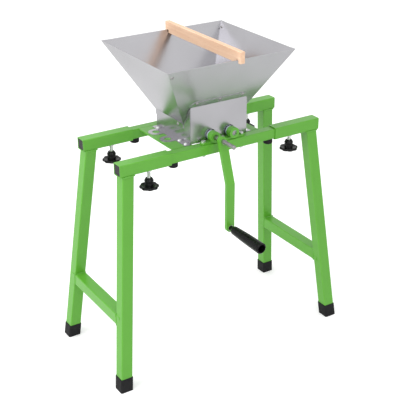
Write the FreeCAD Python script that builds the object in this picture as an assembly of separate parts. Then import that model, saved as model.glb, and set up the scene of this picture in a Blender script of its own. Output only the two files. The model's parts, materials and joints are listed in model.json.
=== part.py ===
import FreeCAD, Part
import math
import os

# Hand cranked fruit mill on a telescopic stand, in millimetres.
# X runs along the rails, -Y is the crank's side, +Z is up.
# The origin is on the floor, midway between the four feet.

V = FreeCAD.Vector

# Telescopic rails
outer_tube = 30.0
outer_wall = 2.0
slide_clearance = 0.5
inner_wall = 1.5
tube_corner = 2.5
rail_spacing = 186.8
rail_top = 570.5
mouth_x = 149.0
outer_rail_length = 136.0
frame_travel = 55.0
plug_length = 10.0
plug_recess = 0.6
plug_chamfer = 1.5

# Legs, crossbars and rubber caps
leg_tube = 30.0
leg_wall = 1.5
leg_inset = 6.0
leg_splay_x = 54.7
leg_splay_y = 53.0
crossbar_tube = 30.0
crossbar_height = 180.0
cap_height = 35.0
cap_wall = 1.8
cap_sole = 4.0
cap_round = 1.2

# Clamp knobs
stud_d = 8.0
thread_clearance = 0.08
clamp_gap = 0.2
knob_drop_left_front = 22.0
knob_drop_left_rear = 20.0
knob_drop_right_front = 15.0
knob_drop_right_rear = 19.0
knob_from_mouth = 54.0
knob_end_margin = 8.0
nut_across = 13.0
nut_height = 6.0
knob_d = 47.0
knob_lobes = 8
knob_lobe_depth = 2.0
knob_head_height = 7.5
knob_dish_depth = 2.5
knob_rim = 3.0
knob_hub_d = 22.0
knob_hub_height = 19.0
knob_neck_d = 16.0
knob_neck_height = 6.0

# Rubber stops under the inner rails
stop_d = 23.0
stop_height = 13.0
stop_round = 3.0
stop_gap = 0.5

# Cross plates between the inner rails
plate_thickness = 3.0
plate_centre_x = -8.0
plate_half_span = 123.0
outlet_margin = 6.0

# Mill shafts and gears
mill_x = 1.5
shaft_rise = 15.5
gear_module = 3.0
gear_teeth = 18
gear_backlash = 0.35
gear_dedendum = 1.25
gear_width = 14.0
gear_gap = 7.0
gear_room = 30.0
gear_hub_d = 21.0
pressure_angle = 20.0
hex_across = 14.0
journal_d = 12.0
shaft_end_recess = 3.0
end_chamfer = 1.0

# Toothed cutter discs
disc_count = 10
disc_gap = 1.0
disc_tip_r = 36.5
disc_root_r = 28.0
disc_teeth = 9
disc_hook = 8.0
spacer_r = 15.5
thrust_washer = 1.0

# Bearing saddles and bushes
boss_r = 13.5
saddle_base_width = 15.0
saddle_base_thickness = 5.0
saddle_lip = 3.0
saddle_lip_clearance = 0.6
bush_wall = 3.0
bush_flange_d = 25.0
bush_flange = 5.0
flange_relief = 0.5
bush_fit = 0.05
boss_length = 16.5
hex_end_play = 0.5
bolt_d = 6.0
bolt_clearance = 0.2
bolt_head_across = 10.0
bolt_head_height = 4.0
bolt_stick_out = 2.0
bolt_nut_height = 5.0
bolt_from_boss = 27.0
saddle_end = 7.5

# Hopper
sheet = 1.2
housing_height = 44.5
hopper_height = 167.5
throat_centre_x = -2.0
throat_half_x = 82.0
throat_from_rear_bush = 8.4
spread_left = 98.0
spread_right = 86.0
spread_front = 99.0
spread_rear = 86.0
lip_height = 12.0
corner_flange = 15.0

# Mill housing
cover_from_bush = 1.4
cover_side_gap = 0.3
cover_hole_r = 14.5
cover_return = 9.0
cover_flange = 16.0
cover_flange_clip = 8.0
cover_bottom_gap = 2.0
wing_setback = 0.5
wing_gap = 1.2
wall_hole_r = 12.5
wall_clearance = 1.0
foot_flange = 14.0
ear_r = 19.0
ear_reach = 25.0
ear_spacing = 56.0
ear_mid_y = 8.5
ear_hole_r = 9.0
guide_flange = 10.0
guide_gap = 3.0
guide_drop = 26.0
guide_top_gap = 10.0

# Blind rivets and foot screws
rivet_r = 2.4
rivet_head_r = 4.5
rivet_head = 1.6
rivet_tail_r = 3.4
rivet_tail = 2.0
rim_rivet_drop = 14.0
cover_rivet_inset = 15.0
cover_rivet_edge = 4.5
seam_rivet_from_front = 24.2
foot_screw_d = 4.0
foot_screw_head_d = 8.4
foot_screw_head = 2.6
foot_screw_stick_out = 3.0
foot_screw_steps = [-19.0, 9.0]
foot_screw_from_rear = 18.0

# Crank and grip
crank_radius = 212.0
arm_width = 22.0
arm_thickness = 9.0
arm_pass_gap = 1.5
arm_offset = 33.5
arm_bend_radius_from_axis = 98.0
hub_d = 19.0
hub_length = 4.0
shaft_shoulder = 6.0
shaft_tail_d = 10.0
shaft_tail = 40.0
grip_pin_d = 8.0
grip_pin_fit = 0.08
grip_washer_d = 14.0
grip_washer = 1.5
grip_play = 0.3
grip_length = 126.0
grip_neck_d = 13.0
grip_neck = 7.0
grip_shoulder_d = 21.0
grip_shoulder = 8.0
grip_end_d = 27.0
grip_end_round = 2.0
grip_bore_length = 26.0
grip_hollow_d = 20.0
pin_head_d = 13.0
pin_head = 4.0
pin_head_room = 1.0

# Wooden bar that rests across the rim
bar_x = 10.0
bar_thickness = 13.0
bar_height = 28.0
bar_hook_height = 8.0
bar_overhang = 9.0
bar_slot_clearance = 0.8
bar_rest_gap = 0.3
bar_round = 1.0

# Worked out from the sizes above
inner_tube = outer_tube - 2 * (outer_wall + slide_clearance)
rail_y = rail_spacing / 2
rail_z = rail_top - outer_tube / 2
rail_bottom = rail_top - outer_tube
inner_top = rail_z + inner_tube / 2
inner_bottom = rail_z - inner_tube / 2
rail_end_x = mouth_x + outer_rail_length
knob_x = mouth_x + knob_from_mouth
inner_half_length = knob_x + frame_travel + stud_d / 2 + knob_end_margin
leg_top_x = rail_end_x - leg_inset - leg_tube / 2
shaft_z = inner_top + shaft_rise
shaft_spacing = gear_module * gear_teeth
drive_x = mill_x - shaft_spacing / 2
idler_x = mill_x + shaft_spacing / 2
boss_outer_y = rail_y + inner_tube / 2
boss_inner_y = boss_outer_y - boss_length
flange_inner_y = boss_inner_y - bush_flange
hex_half = flange_inner_y - hex_end_play
cover_y = -flange_inner_y + cover_from_bush
throat_z = inner_top + housing_height
throat_left = throat_centre_x - throat_half_x
throat_right = throat_centre_x + throat_half_x
throat_front_y = cover_y + gear_room
throat_rear_y = flange_inner_y - throat_from_rear_bush
rim_z = throat_z + hopper_height
rim_left = throat_left - spread_left
rim_right = throat_right + spread_right
rim_front_y = throat_front_y - spread_front
rim_rear_y = throat_rear_y + spread_rear
wall_left = throat_left + sheet
wall_right = throat_right - sheet
wall_front = throat_front_y + sheet
wall_rear = throat_rear_y - sheet
stack_start = wall_front + sheet + wall_clearance
stack_end = wall_rear - sheet - wall_clearance
disc_pitch = (stack_end - stack_start - thrust_washer) / disc_count
disc_thickness = disc_pitch / 2 - disc_gap
spacer_length = disc_pitch - disc_thickness
gear_rear_y = throat_front_y - gear_gap
gear_front_y = gear_rear_y - gear_width
panel_slope = hopper_height / spread_front
flange_skew = math.hypot(1, panel_slope)
cover_left = wall_left + sheet + cover_side_gap
cover_right = wall_right - sheet - cover_side_gap
foot_screw_places = [throat_front_y + step for step in foot_screw_steps]
foot_screw_places.append(throat_rear_y - foot_screw_from_rear)
arm_outer_y = rim_front_y - bar_overhang - arm_pass_gap - arm_thickness
arm_hub_y = arm_outer_y + arm_offset
knob_drops = {(-1, -1): knob_drop_left_front, (-1, 1): knob_drop_left_rear,
              (1, -1): knob_drop_right_front, (1, 1): knob_drop_right_rear}
hexagon_corner = 1 / math.sqrt(3)


def save(name, shape):
    shape.exportStep("parts/" + name + ".step")


def group(shapes):
    return Part.makeCompound(shapes)


def box(x0, x1, y0, y1, z0, z1):
    return Part.makeBox(x1 - x0, y1 - y0, z1 - z0, V(x0, y0, z0))


def cylinder_y(x, z, y0, y1, r):
    return Part.makeCylinder(r, y1 - y0, V(x, y0, z), V(0, 1, 0))


def cylinder_z(x, y, z0, z1, r):
    return Part.makeCylinder(r, z1 - z0, V(x, y, z0), V(0, 0, 1))


def prism(points, along):
    return Part.Face(Part.makePolygon(points + [points[0]])).extrude(along)


def hexagon_y(x, z, y0, y1, across):
    corner = across * hexagon_corner
    points = []
    for k in range(6):
        a = math.radians(60 * k + 30)
        points.append(V(x + corner * math.cos(a), y0, z + corner * math.sin(a)))
    return prism(points, V(0, y1 - y0, 0))


def hexagon_z(x, y, z0, z1, across):
    corner = across * hexagon_corner
    points = []
    for k in range(6):
        a = math.radians(60 * k)
        points.append(V(x + corner * math.cos(a), y + corner * math.sin(a), z0))
    return prism(points, V(0, 0, z1 - z0))


def rounded_square(centre, u, v, size, r):
    """Wire of a square with round corners, in the plane of u and v."""
    h = size / 2
    k = r * (1 - math.sqrt(0.5))
    edges = []
    corners = [(1, 1), (-1, 1), (-1, -1), (1, -1)]
    for i, (a, b) in enumerate(corners):
        if i % 2 == 0:
            p0 = centre + u * (a * h) + v * (b * (h - r))
            p1 = centre + u * (a * (h - r)) + v * (b * h)
        else:
            p0 = centre + u * (a * (h - r)) + v * (b * h)
            p1 = centre + u * (a * h) + v * (b * (h - r))
        mid = centre + u * (a * (h - k)) + v * (b * (h - k))
        edges.append(Part.Arc(p0, mid, p1).toShape())
        c, d = corners[(i + 1) % 4]
        if i % 2 == 0:
            p2 = centre + u * (c * (h - r)) + v * (d * h)
        else:
            p2 = centre + u * (c * h) + v * (d * (h - r))
        edges.append(Part.LineSegment(p1, p2).toShape())
    return Part.Wire(edges)


def tube(start, along, u, v, size, wall, corner):
    """Square tube with round outer corners from start to start + along."""
    outside = Part.Face(rounded_square(start, u, v, size, corner)).extrude(along)
    inside = Part.Face(rounded_square(start, u, v, size - 2 * wall, corner - wall / 2)).extrude(along)
    return outside.cut(inside)


def tube_x(x0, x1, y, z, size, wall):
    return tube(V(x0, y, z), V(x1 - x0, 0, 0), V(0, 1, 0), V(0, 0, 1), size, wall, tube_corner)


def leg_centre(side, row, z):
    """Centre of a leg at height z: side is -1 or 1 in X, row is -1 or 1 in Y."""
    share = (rail_bottom - z) / rail_bottom
    x = side * (leg_top_x + leg_splay_x * share)
    y = row * (rail_y + leg_splay_y * share)
    return V(x, y, z)


def leg_block(side, row, z0, z1, size, corner):
    start = leg_centre(side, row, z0)
    wire = rounded_square(start, V(1, 0, 0), V(0, 1, 0), size, corner)
    return Part.Face(wire).extrude(leg_centre(side, row, z1) - start)


def outer_rail(side, row):
    x0, x1 = sorted((side * mouth_x, side * rail_end_x))
    rail = tube_x(x0, x1, row * rail_y, rail_z, outer_tube, outer_wall)
    hole_r = stud_d / 2 + thread_clearance
    return rail.cut(cylinder_z(side * knob_x, row * rail_y, rail_bottom, rail_z, hole_r))


def leg(side, row):
    outside = leg_block(side, row, cap_sole, rail_bottom, leg_tube, tube_corner)
    bore = leg_tube - 2 * leg_wall
    inside = leg_block(side, row, cap_sole, rail_bottom, bore, tube_corner - leg_wall / 2)
    return outside.cut(inside)


def foot_cap(side, row):
    size = leg_tube + 2 * cap_wall
    outside = leg_block(side, row, 0, cap_height, size, tube_corner + cap_wall)
    flat = [e for e in outside.Edges if e.BoundBox.ZLength < 0.01 and e.BoundBox.ZMin > cap_sole]
    outside = outside.makeChamfer(cap_round, flat)
    seat = leg_block(side, row, cap_sole, cap_height, leg_tube, tube_corner)
    return outside.cut(seat)


def crossbar(side):
    centre = leg_centre(side, 1, crossbar_height)
    start = V(centre.x, -centre.y, crossbar_height)
    bar = tube(start, V(0, 2 * centre.y, 0), V(1, 0, 0), V(0, 0, 1), crossbar_tube, leg_wall, tube_corner)
    z0 = crossbar_height - crossbar_tube
    z1 = crossbar_height + crossbar_tube
    for row in (-1, 1):
        bar = bar.cut(leg_block(side, row, z0, z1, leg_tube, tube_corner))
    return max(bar.Solids, key=lambda s: s.Volume)


def end_plug(side, row):
    size = outer_tube - 2 * outer_wall
    outer_x = side * (rail_end_x - plug_recess)
    start = V(outer_x, row * rail_y, rail_z)
    corner = tube_corner - outer_wall / 2
    wire = rounded_square(start, V(0, 1, 0), V(0, 0, 1), size, corner)
    plug = Part.Face(wire).extrude(V(-side * plug_length, 0, 0))
    face_edges = [e for e in plug.Edges if abs(e.BoundBox.Center.x - outer_x) < 0.01]
    return plug.makeChamfer(plug_chamfer, face_edges)


def weld_nut(side, row):
    x = side * knob_x
    y = row * rail_y
    nut = hexagon_z(x, y, rail_bottom - nut_height, rail_bottom, nut_across)
    return nut.cut(cylinder_z(x, y, rail_bottom - nut_height, rail_bottom, stud_d / 2 + thread_clearance))


def clamp_stud(side, row):
    x = side * knob_x
    y = row * rail_y
    bottom = rail_bottom - knob_drops[side, row] - knob_hub_height
    return cylinder_z(x, y, bottom, inner_bottom - clamp_gap, stud_d / 2)


def clamp_knob(side, row):
    """Hand knob: a scalloped, slightly dished head and a hub that narrows towards the stud."""
    x = side * knob_x
    y = row * rail_y
    top = rail_bottom - knob_drops[side, row]
    head_top = top - knob_hub_height
    head_bottom = head_top - knob_head_height
    head = cylinder_z(x, y, head_bottom, head_top, knob_d / 2)
    scallop_r = math.pi * knob_d / knob_lobes / 4
    reach = knob_d / 2 + scallop_r - knob_lobe_depth
    for k in range(knob_lobes):
        a = 2 * math.pi * k / knob_lobes
        cx = x + reach * math.cos(a)
        cy = y + reach * math.sin(a)
        head = head.cut(cylinder_z(cx, cy, head_bottom, head_top, scallop_r))
    rims = [e for e in head.Edges if e.BoundBox.ZLength < 0.01]
    head = head.makeChamfer(knob_lobe_depth / 2, rims)
    hub_r = knob_hub_d / 2
    dish_r = knob_d / 2 - knob_lobe_depth - knob_rim
    dish_bottom = head_top - knob_dish_depth
    head = head.cut(Part.makeCone(hub_r, dish_r, knob_dish_depth, V(x, y, dish_bottom)))
    neck_bottom = top - knob_neck_height
    hub = cylinder_z(x, y, dish_bottom, neck_bottom, hub_r)
    neck = Part.makeCone(hub_r, knob_neck_d / 2, knob_neck_height, V(x, y, neck_bottom))
    knob = head.fuse(hub).fuse(neck).removeSplitter()
    return knob.cut(cylinder_z(x, y, head_top, top, stud_d / 2))


def rubber_stop(side, row):
    """Round rubber foot under an inner rail, just inside the outer rail's mouth."""
    x = side * (mouth_x - stop_gap - stop_d / 2)
    foot = cylinder_z(x, row * rail_y, inner_bottom - stop_height, inner_bottom, stop_d / 2)
    edge = [e for e in foot.Edges if e.BoundBox.ZMax < inner_bottom - stop_height + 0.01]
    return foot.makeFillet(stop_round, edge)


def bolt_places():
    mid = mill_x
    reach = shaft_spacing / 2 + bolt_from_boss
    return [mid - reach, mid, mid + reach]


def inner_rail(row):
    rail = tube_x(-inner_half_length, inner_half_length, row * rail_y, rail_z, inner_tube, inner_wall)
    for x in bolt_places():
        rail = rail.cut(cylinder_z(x, row * rail_y, inner_bottom, inner_top, bolt_d / 2 + bolt_clearance))
    return rail


def cross_plate(side):
    inner_y = rail_y - inner_tube / 2
    if side < 0:
        x0 = plate_centre_x - plate_half_span
        x1 = wall_left + outlet_margin
    else:
        x0 = wall_right - outlet_margin
        x1 = plate_centre_x + plate_half_span
    plate = box(x0, x1, -inner_y, inner_y, inner_top - plate_thickness, inner_top)
    for y in foot_screw_places:
        hole = cylinder_z(foot_screw_x(side), y, inner_top - plate_thickness, inner_top, foot_screw_d / 2)
        plate = plate.cut(hole)
    return plate


def bearing_saddle(row):
    """One welded saddle: a strap along the rail with a bush housing over each shaft."""
    y = row * rail_y
    bolts = bolt_places()
    top = inner_top + saddle_base_thickness
    half = saddle_base_width / 2
    saddle = box(bolts[0] - saddle_end, bolts[-1] + saddle_end, y - half, y + half, inner_top, top)
    upright = [e for e in saddle.Edges if e.BoundBox.ZLength > saddle_base_thickness / 2]
    saddle = saddle.makeFillet(saddle_end / 2, upright)
    y0, y1 = sorted((row * boss_inner_y, row * boss_outer_y))
    for x in (drive_x, idler_x):
        saddle = saddle.fuse(cylinder_y(x, shaft_z, y0, y1, boss_r))
    saddle = saddle.removeSplitter()
    lip0, lip1 = sorted((row * boss_inner_y, row * (boss_outer_y - saddle_lip)))
    f0, f1 = sorted((row * flange_inner_y, row * boss_inner_y))
    relief_r = bush_flange_d / 2 + flange_relief
    for x in (drive_x, idler_x):
        saddle = saddle.cut(cylinder_y(x, shaft_z, f0, f1, relief_r))
        saddle = saddle.cut(cylinder_y(x, shaft_z, lip0, lip1, journal_d / 2 + bush_wall))
        saddle = saddle.cut(cylinder_y(x, shaft_z, y0, y1, journal_d / 2 + saddle_lip_clearance))
    for x in bolts:
        saddle = saddle.cut(cylinder_z(x, y, inner_top, top, bolt_d / 2 + bolt_clearance))
    return saddle


def bush(x, row):
    """Flanged plain bush pressed into a saddle from the mill's side."""
    y0, y1 = sorted((row * boss_inner_y, row * (boss_outer_y - saddle_lip)))
    f0, f1 = sorted((row * flange_inner_y, row * boss_inner_y))
    sleeve = cylinder_y(x, shaft_z, y0, y1, journal_d / 2 + bush_wall)
    body = sleeve.fuse(cylinder_y(x, shaft_z, f0, f1, bush_flange_d / 2)).removeSplitter()
    all0 = min(y0, f0)
    all1 = max(y1, f1)
    return body.cut(cylinder_y(x, shaft_z, all0, all1, journal_d / 2 + bush_fit))


def saddle_bolt(x, row):
    y = row * rail_y
    top = inner_top + saddle_base_thickness
    bottom = inner_bottom - bolt_nut_height - bolt_stick_out
    shank = cylinder_z(x, y, bottom, top, bolt_d / 2)
    head = hexagon_z(x, y, top, top + bolt_head_height, bolt_head_across)
    return shank.fuse(head).removeSplitter()


def saddle_nut(x, row):
    y = row * rail_y
    nut = hexagon_z(x, y, inner_bottom - bolt_nut_height, inner_bottom, bolt_head_across)
    return nut.cut(cylinder_z(x, y, inner_bottom - bolt_nut_height, inner_bottom, bolt_d / 2))


def mill_shaft(x, front_tip, tip_r):
    """Hexagon bar with round journals; the drive shaft also has a thinner tail for the crank."""
    rear_end = boss_outer_y - shaft_end_recess
    front_end = -boss_outer_y + shaft_end_recess
    shaft = hexagon_y(x, shaft_z, -hex_half, hex_half, hex_across)
    shaft = shaft.fuse(cylinder_y(x, shaft_z, hex_half, rear_end, journal_d / 2))
    if front_tip is None:
        return shaft.fuse(cylinder_y(x, shaft_z, front_end, -hex_half, journal_d / 2)).removeSplitter()
    shoulder = arm_hub_y - shaft_shoulder
    shaft = shaft.fuse(cylinder_y(x, shaft_z, shoulder, -hex_half, journal_d / 2))
    tail = cylinder_y(x, shaft_z, front_tip, shoulder, tip_r)
    rim = [e for e in tail.Edges if e.BoundBox.YMax < front_tip + 0.01]
    return shaft.fuse(tail.makeChamfer(end_chamfer, rim)).removeSplitter()


def involute_flank(base_r, r):
    """Polar angle that an involute has turned when it reaches radius r."""
    t = math.sqrt(max((r / base_r) ** 2 - 1, 0))
    return t - math.atan(t)


def gear_wheel(x, turn):
    """Spur gear with involute flanks, each an arc through three points of the curve."""
    pitch_r = gear_module * gear_teeth / 2
    tip_r = pitch_r + gear_module
    root_r = pitch_r - gear_dedendum * gear_module
    base_r = pitch_r * math.cos(math.radians(pressure_angle))
    low_r = max(base_r, root_r)
    half_tooth = math.pi / 2 / gear_teeth - gear_backlash / 2 / pitch_r
    at_pitch = half_tooth + involute_flank(base_r, pitch_r)

    def point(r, a):
        return V(x + r * math.cos(a), gear_front_y, shaft_z + r * math.sin(a))

    def half_angle(r):
        return at_pitch - involute_flank(base_r, r)

    edges = []
    step = 2 * math.pi / gear_teeth
    mid_r = (low_r + tip_r) / 2
    for k in range(gear_teeth):
        c = turn + k * step
        foot_a = half_angle(low_r)
        tip_a = half_angle(tip_r)
        mid_a = half_angle(mid_r)
        root_in = point(root_r, c - foot_a)
        low_in = point(low_r, c - foot_a)
        tip_in = point(tip_r, c - tip_a)
        tip_out = point(tip_r, c + tip_a)
        low_out = point(low_r, c + foot_a)
        root_out = point(root_r, c + foot_a)
        next_root = point(root_r, c + step - foot_a)
        if low_r > root_r:
            edges.append(Part.LineSegment(root_in, low_in).toShape())
        edges.append(Part.Arc(low_in, point(mid_r, c - mid_a), tip_in).toShape())
        edges.append(Part.Arc(tip_in, point(tip_r, c), tip_out).toShape())
        edges.append(Part.Arc(tip_out, point(mid_r, c + mid_a), low_out).toShape())
        if low_r > root_r:
            edges.append(Part.LineSegment(low_out, root_out).toShape())
        edges.append(Part.Arc(root_out, point(root_r, c + step / 2), next_root).toShape())
    wheel = Part.Face(Part.Wire(edges)).extrude(V(0, gear_width, 0))
    hub = cylinder_y(x, shaft_z, gear_rear_y, stack_start, gear_hub_d / 2)
    wheel = wheel.fuse(hub).removeSplitter()
    return wheel.cut(hexagon_y(x, shaft_z, gear_front_y, stack_start, hex_across))


def cutter_disc(x, y0, turn, hand):
    """Toothed disc with hooked teeth: a long curved back and a short straight face."""
    edges = []
    step = 2 * math.pi / disc_teeth
    hook = math.radians(disc_hook)

    def point(r, a):
        return V(x + r * math.cos(a), y0, shaft_z + r * math.sin(a))

    for k in range(disc_teeth):
        a0 = turn + k * step
        tip = a0 + hand * hook
        flat = tip - hand * hook / 2
        foot = point(disc_root_r, a0)
        tip_lead = point(disc_tip_r, tip)
        tip_back = point(disc_tip_r, flat)
        next_foot = point(disc_root_r, a0 - hand * step)
        belly = point((disc_root_r * 2 + disc_tip_r) / 3, a0 - hand * step / 2)
        edges.append(Part.LineSegment(foot, tip_lead).toShape())
        edges.append(Part.LineSegment(tip_lead, tip_back).toShape())
        edges.append(Part.Arc(tip_back, belly, next_foot).toShape())
    loop = Part.Wire(Part.__sortEdges__(edges))
    disc = Part.Face(loop).extrude(V(0, disc_thickness, 0))
    return disc.cut(hexagon_y(x, shaft_z, y0, y0 + disc_thickness, hex_across))


def spacer(x, y0, y1):
    return cylinder_y(x, shaft_z, y0, y1, spacer_r).cut(hexagon_y(x, shaft_z, y0, y1, hex_across))


def stack(x, first_gap, hand):
    """Discs and spacers of one shaft, from the gear side to the far side."""
    discs = []
    spacers = []
    y = stack_start
    gap_end = y + first_gap
    for k in range(disc_count):
        spacers.append(spacer(x, y, gap_end))
        turn = hand * 2 * math.pi * k / disc_count / disc_teeth
        discs.append(cutter_disc(x, gap_end, turn, hand))
        y = gap_end + disc_thickness
        gap_end = y + spacer_length
    spacers.append(spacer(x, y, stack_end))
    sleeve = cylinder_y(x, shaft_z, stack_end, hex_half, gear_hub_d / 2)
    spacers.append(sleeve.cut(hexagon_y(x, shaft_z, stack_end, hex_half, hex_across)))
    return discs, spacers


def hopper_corner(side, row, z):
    """Outer corner of the hopper at height z between throat and rim."""
    share = (z - throat_z) / (rim_z - throat_z)
    if side < 0:
        x = throat_left + (rim_left - throat_left) * share
    else:
        x = throat_right + (rim_right - throat_right) * share
    if row < 0:
        y = throat_front_y + (rim_front_y - throat_front_y) * share
    else:
        y = throat_rear_y + (rim_rear_y - throat_rear_y) * share
    return V(x, y, z)


def frustum(left, right, front, rear):
    """Solid from throat to rim whose sloping faces are moved inwards by the given distances."""
    rings = []
    for z in (throat_z, rim_z):
        low = hopper_corner(-1, -1, z)
        high = hopper_corner(1, 1, z)
        x0 = low.x + left
        x1 = high.x - right
        y0 = low.y + front
        y1 = high.y - rear
        rings.append([V(x0, y0, z), V(x1, y0, z), V(x1, y1, z), V(x0, y1, z)])
    bottom, top = rings
    loops = [bottom, top]
    for i in range(4):
        j = (i + 1) % 4
        loops.append([bottom[i], bottom[j], top[j], top[i]])
    faces = [Part.Face(Part.makePolygon(loop + [loop[0]])) for loop in loops]
    return Part.Solid(Part.Shell(faces))


def level_step(run):
    """Thickness of a sloping sheet measured level, when it leans out by run over its height."""
    rise = rim_z - throat_z
    return sheet * math.hypot(run, rise) / rise


def end_run(row):
    return abs(hopper_corner(1, row, rim_z).y - hopper_corner(1, row, throat_z).y)


def side_run(side):
    return abs(hopper_corner(side, 1, rim_z).x - hopper_corner(side, 1, throat_z).x)


def end_panel(row):
    """Front or rear sheet of the hopper, with its lower lip and a flange round the right corner."""
    step = level_step(end_run(row))
    right_step = level_step(side_run(1))
    away = -corner_flange
    body = frustum(level_step(side_run(-1)), -right_step, 0, 0)
    if row < 0:
        body = body.cut(frustum(away, 0, step, away))
        body = body.cut(frustum(away, away, corner_flange, away))
    else:
        body = body.cut(frustum(away, 0, away, step))
        body = body.cut(frustum(away, away, away, corner_flange))
    y = hopper_corner(1, row, throat_z).y
    y0, y1 = sorted((y, y - row * sheet))
    lip = box(wall_left + sheet, wall_right - sheet, y0, y1, throat_z - lip_height, throat_z)
    body = body.fuse(lip).removeSplitter()
    for hole in end_rivet_shanks(row):
        body = body.cut(hole)
    return body


def side_panel(side):
    """Left or right sheet of the hopper; the left one has flanges that lap the end sheets."""
    step = level_step(side_run(side))
    front = level_step(end_run(-1))
    rear = level_step(end_run(1))
    away = -corner_flange
    if side < 0:
        body = frustum(0, 0, -front, -rear).cut(frustum(corner_flange, away, away, away))
        body = body.cut(frustum(step, away, 0, 0))
    else:
        body = frustum(0, 0, front, rear).cut(frustum(away, step, away, away))
    x = hopper_corner(side, 1, throat_z).x
    x0, x1 = sorted((x, x - side * sheet))
    lip = box(x0, x1, throat_front_y, throat_rear_y, throat_z - lip_height, throat_z)
    body = body.fuse(lip).removeSplitter()
    for hole in side_rivet_shanks(side):
        body = body.cut(hole)
    return body


def end_normal(row):
    """Outward normal of the front or rear panel."""
    normal = V(0, row * hopper_height, -end_run(row))
    normal.normalize()
    return normal


def side_normal(side):
    """Outward normal of the left or right panel."""
    normal = V(side * hopper_height, 0, -side_run(side))
    normal.normalize()
    return normal


def rivet(seat, normal, grip):
    """Blind rivet whose head sits at seat and whose shank passes through sheets of thickness grip."""
    shank = Part.makeCylinder(rivet_r, grip, seat, -normal)
    ball_r = (rivet_head_r ** 2 + rivet_head ** 2) / (2 * rivet_head)
    ball = Part.makeSphere(ball_r, seat - normal * (ball_r - rivet_head))
    head = ball.common(Part.makeCylinder(ball_r, ball_r, seat, normal))
    tail = Part.makeCone(rivet_tail_r, rivet_r, rivet_tail, seat - normal * grip, -normal)
    return shank.fuse(head).fuse(tail).removeSplitter()


def shank_hole(seat, normal):
    reach = 3 * sheet
    return Part.makeCylinder(rivet_r, 2 * reach, seat + normal * reach, -normal)


def rim_rivet_place(side, row):
    """Seat and direction of the rivet near the rim that joins two panels at a corner."""
    corner = hopper_corner(side, row, rim_z - rim_rivet_drop)
    if side < 0:
        normal = end_normal(row)
        inward = V(corner_flange / 2, 0, 0)
    else:
        normal = side_normal(side)
        inward = V(0, -row * corner_flange / 2, 0)
    return corner + inward + normal * sheet, normal


def cover_rivet_seats():
    up = cover_flange - cover_rivet_edge
    z = cover_bend_z(cover_y + sheet) + up * panel_slope / flange_skew
    seats = []
    for x in (cover_left + cover_rivet_inset, throat_centre_x, cover_right - cover_rivet_inset):
        seats.append(V(x, panel_y(z), z) + end_normal(-1) * sheet)
    return seats


def seam_rivet_seat(side):
    y = throat_front_y + seam_rivet_from_front
    return V(hopper_corner(side, 1, throat_z).x, y, throat_z - lip_height / 2)


def end_rivet_shanks(row):
    shanks = [shank_hole(*rim_rivet_place(side, row)) for side in (-1, 1)]
    if row < 0:
        shanks += [shank_hole(seat, end_normal(-1)) for seat in cover_rivet_seats()]
    return shanks


def side_rivet_shanks(side):
    shanks = [shank_hole(*rim_rivet_place(side, row)) for row in (-1, 1)]
    return shanks + [shank_hole(seam_rivet_seat(side), V(side, 0, 0))]


def hopper_rivets():
    rivets = [rivet(*rim_rivet_place(s, r), 2 * sheet) for s in (-1, 1) for r in (-1, 1)]
    rivets += [rivet(seat, end_normal(-1), 2 * sheet) for seat in cover_rivet_seats()]
    rivets += [rivet(seam_rivet_seat(side), V(side, 0, 0), 2 * sheet) for side in (-1, 1)]
    return group(rivets)


def panel_y(z):
    """Y of the front panel's outer face at height z."""
    return hopper_corner(1, -1, z).y


def cover_bend_z(y):
    """Height at which the front panel's outer face is at y."""
    return throat_z + (throat_front_y - y) * panel_slope


def foot_screw_x(side):
    return (wall_left if side < 0 else wall_right) + side * foot_flange / 2


def ear(side, y):
    """Round tab beside the foot flange with a hole in it."""
    x = wall_left if side < 0 else wall_right
    centre_x = x + side * ear_reach
    x0, x1 = sorted((x + side * foot_flange / 2, centre_x))
    tab = box(x0, x1, y - ear_r, y + ear_r, inner_top, inner_top + sheet)
    tab = tab.fuse(cylinder_z(centre_x, y, inner_top, inner_top + sheet, ear_r))
    return tab.cut(cylinder_z(centre_x, y, inner_top, inner_top + sheet, ear_hole_r))


def side_wall(side):
    """Side sheet of the mill housing: a wing beside the gears, a foot flange, ears on the left."""
    x = wall_left if side < 0 else wall_right
    x0, x1 = sorted((x, x - side * sheet))
    wing_y = cover_y + wing_setback
    slack = (sheet + wing_gap) * flange_skew
    outline = [V(x0, wing_y, inner_top), V(x0, wing_y, cover_bend_z(wing_y) - slack),
               V(x0, throat_front_y, throat_z - slack), V(x0, wall_front, throat_z),
               V(x0, wall_rear, throat_z), V(x0, wall_rear, inner_top)]
    wall = prism(outline, V(x1 - x0, 0, 0))
    f0, f1 = sorted((x - side * sheet, x + side * foot_flange))
    wall = wall.fuse(box(f0, f1, wing_y, wall_rear, inner_top, inner_top + sheet))
    if side < 0:
        for k in (-1, 1):
            wall = wall.fuse(ear(side, ear_mid_y + k * ear_spacing / 2))
    wall = wall.removeSplitter()
    for y in foot_screw_places:
        wall = wall.cut(cylinder_z(foot_screw_x(side), y, inner_top, throat_z, foot_screw_d / 2))
    return wall.cut(shank_hole(seam_rivet_seat(side), V(side, 0, 0)))


def foot_screw(side, y):
    x = foot_screw_x(side)
    seat = inner_top + sheet
    shank = cylinder_z(x, y, inner_top - plate_thickness - foot_screw_stick_out, seat, foot_screw_d / 2)
    head = cylinder_z(x, y, seat, seat + foot_screw_head, foot_screw_head_d / 2)
    top = [e for e in head.Edges if e.BoundBox.ZMin > seat + foot_screw_head - 0.01]
    return shank.fuse(head.makeFillet(foot_screw_head / 2, top)).removeSplitter()


def end_wall(row):
    """Front or rear sheet of the mill housing with a hole round each shaft."""
    y = wall_front if row < 0 else wall_rear
    y0, y1 = sorted((y, y - row * sheet))
    wall = box(wall_left + sheet, wall_right - sheet, y0, y1, inner_top, throat_z)
    for x in (drive_x, idler_x):
        wall = wall.cut(cylinder_y(x, shaft_z, y0, y1, wall_hole_r))
    return wall


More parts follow.
